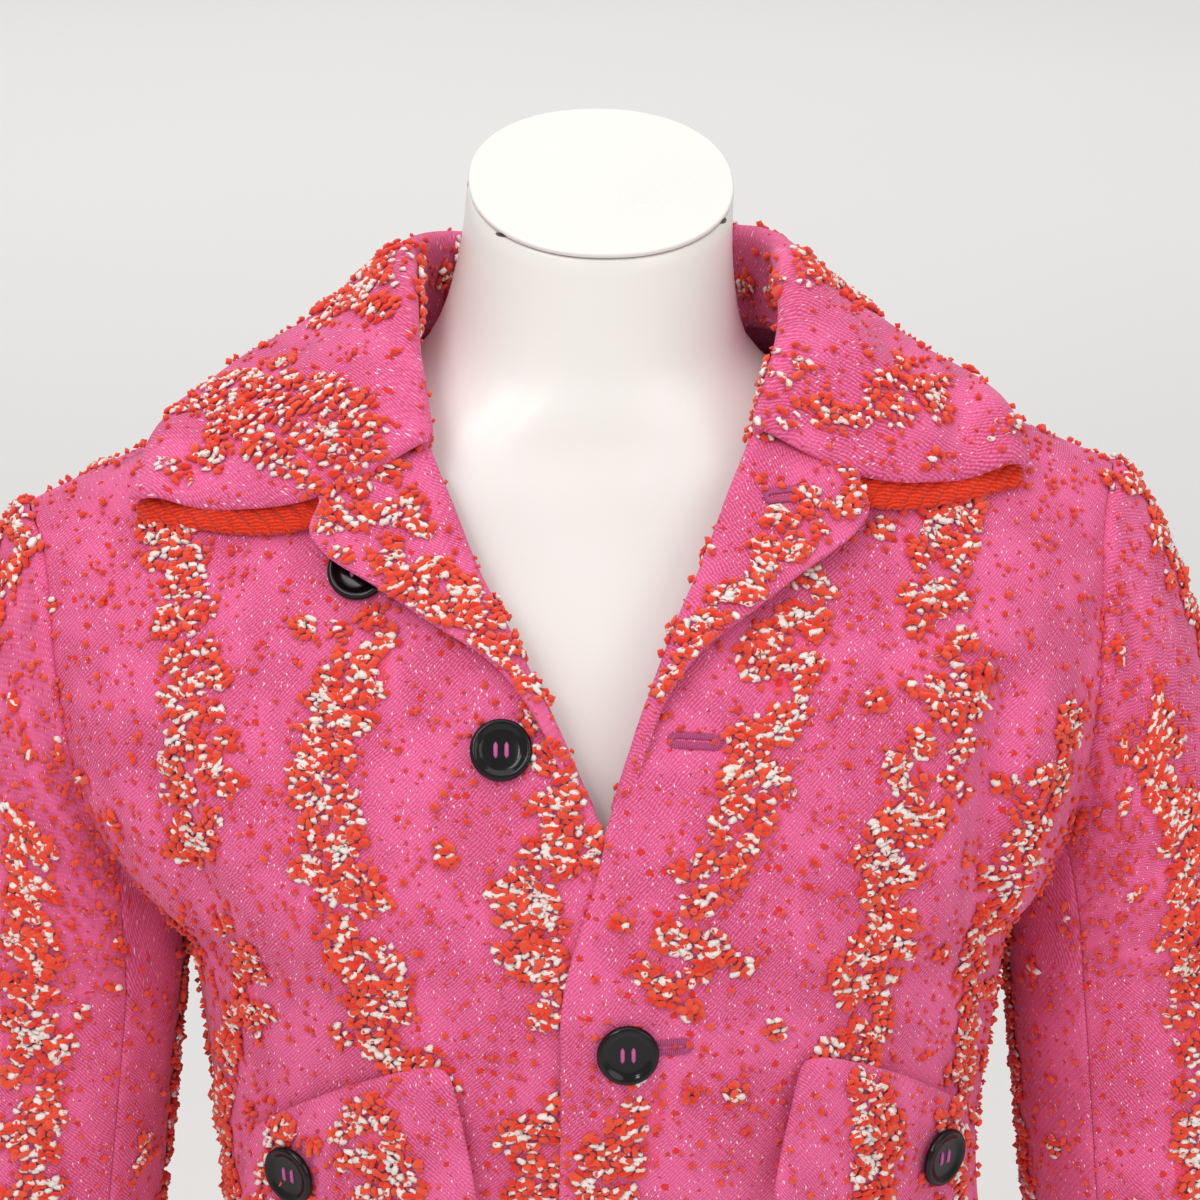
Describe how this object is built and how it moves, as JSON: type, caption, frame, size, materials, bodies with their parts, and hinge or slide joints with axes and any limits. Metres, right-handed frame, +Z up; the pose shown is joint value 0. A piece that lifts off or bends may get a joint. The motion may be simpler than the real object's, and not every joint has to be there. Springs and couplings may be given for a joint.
{
  "type": "cropped tweed jacket on a limbless dress form",
  "caption": "Cropped pink boucle tweed jacket with a wide pointed collar, patch pockets with slanted flaps and black buttons, worn on a white dress form.",
  "frame": {"origin": "centre of the dress form's flat base, on the surface it stands on", "axes": "+Z up; the jacket's front faces -Y; +X is the wearer's left, where the buttonholes are"},
  "size_m": [0.5637, 0.2694, 0.7779],
  "materials": {
    "tweed": "pink twill ground with raised red-orange and white boucle tufts",
    "rib_knit": "red-orange ribbed knit",
    "button": "glossy black with a raised rim",
    "form": "satin white lacquer"
  },
  "bodies": {
    "root": {"front_left": "tweed", "front_right": "tweed", "back": "tweed", "sleeve_top_left": "tweed", "sleeve_top_right": "tweed", "sleeve_under_left": "tweed", "sleeve_under_right": "tweed", "collar_top": "tweed", "lapel_left": "tweed", "lapel_right": "tweed", "pocket_left": "tweed", "pocket_right": "tweed", "flap_left": "tweed", "flap_right": "tweed", "collar_under": "rib_knit", "button_1": "button", "button_2": "button", "button_3": "button", "button_4": "button", "button_flap_left": "button", "button_flap_right": "button", "form_body": "form", "form_neck_cap": "form"}
  },
  "joints": []
}
